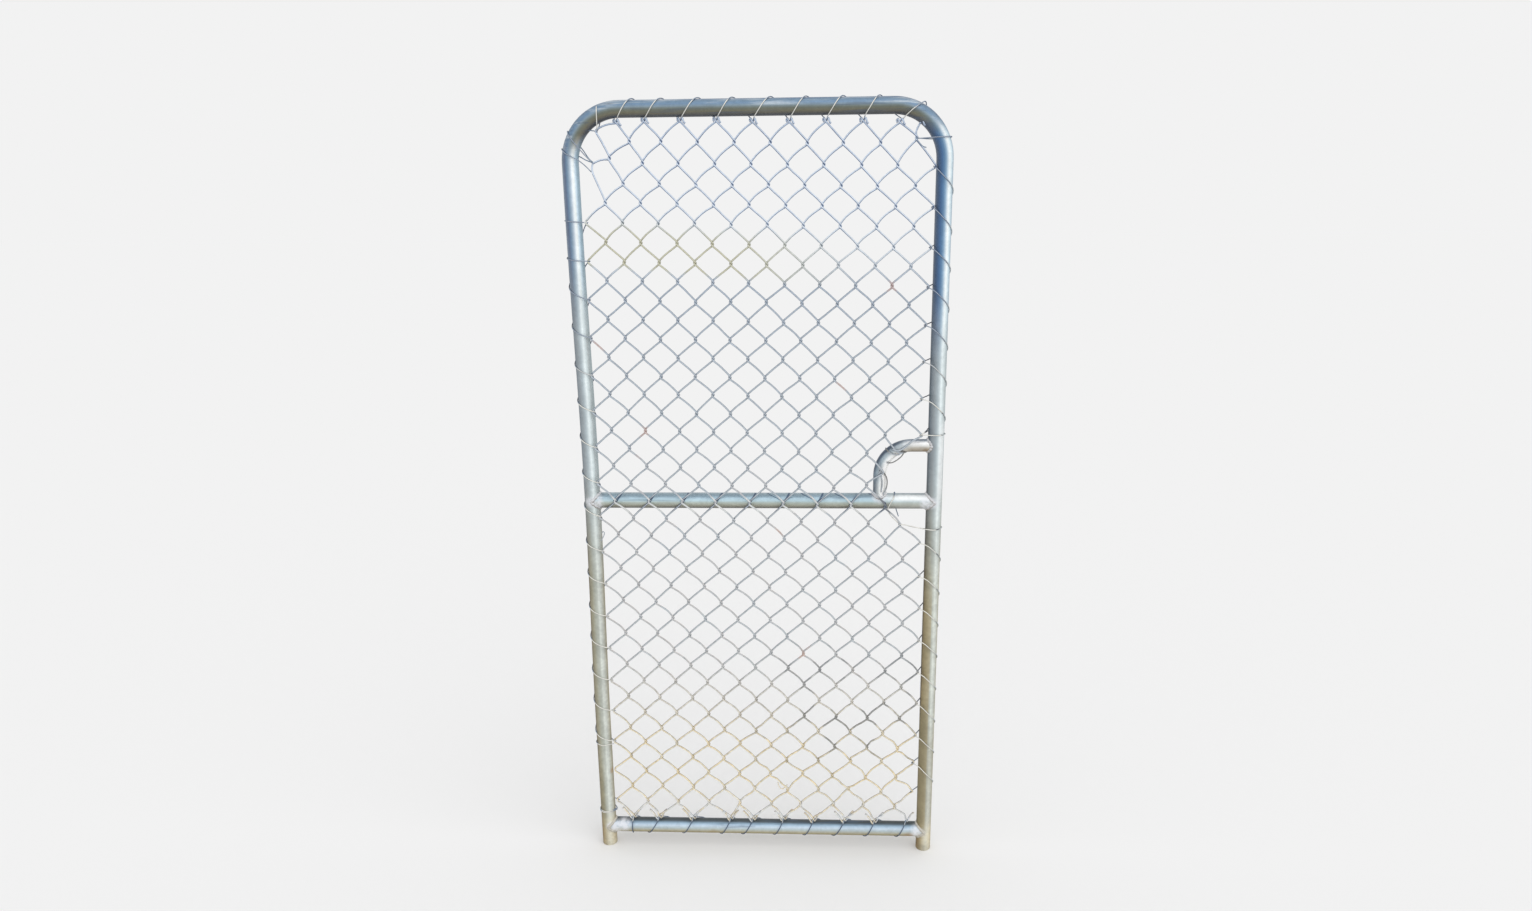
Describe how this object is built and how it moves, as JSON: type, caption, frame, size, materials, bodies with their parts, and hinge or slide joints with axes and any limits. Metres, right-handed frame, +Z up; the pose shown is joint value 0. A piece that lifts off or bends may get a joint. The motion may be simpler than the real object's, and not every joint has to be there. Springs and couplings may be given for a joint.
{
  "type": "chain-link gate",
  "caption": "Single chain-link gate leaf with a bent tube frame, a mid rail, a hand hole beside the latch stile, and diamond mesh laced on with soft wire.",
  "frame": {"origin": "middle of the hinge stile's lower end face", "axes": "+X across the gate to the latch stile, +Y to the back, +Z up the hinge stile; the mesh hangs on the front, which faces -Y"},
  "size_m": [0.7821, 0.0444, 1.6828],
  "materials": {
    "galvanised_tube": "hot-dip galvanised, weathered, with dull spangle and dusty lower stiles",
    "hand_hole_tube": "lighter galvanised tube, bright at its welds",
    "weld": "silver-painted weld bead",
    "mesh_wire": "galvanised wire, dulled, with rust spots and earth stain near the ground",
    "lacing_wire": "soft galvanised tie wire"
  },
  "bodies": {
    "root": {"frame_hoop": "galvanised_tube", "mid_rail": "galvanised_tube", "bottom_rail": "galvanised_tube", "hand_hole_bend": "hand_hole_tube", "weld_mid_hinge": "weld", "weld_mid_latch": "weld", "weld_bottom_hinge": "weld", "weld_bottom_latch": "weld", "weld_hole_stile": "weld", "weld_hole_rail": "weld", "mesh_upper": "mesh_wire", "mesh_middle": "mesh_wire", "mesh_lower": "mesh_wire", "lacing_top": "lacing_wire", "lacing_hinge": "lacing_wire", "lacing_latch_upper": "lacing_wire", "lacing_latch_lower": "lacing_wire", "lacing_bottom": "lacing_wire", "tie_corner_hinge": "lacing_wire", "tie_corner_latch": "lacing_wire", "tie_foot_hinge": "lacing_wire", "tie_latch_stile": "lacing_wire", "tie_mid_rail": "lacing_wire", "tie_hole_corner": "mesh_wire", "tie_hole_leg": "mesh_wire"}
  },
  "joints": []
}
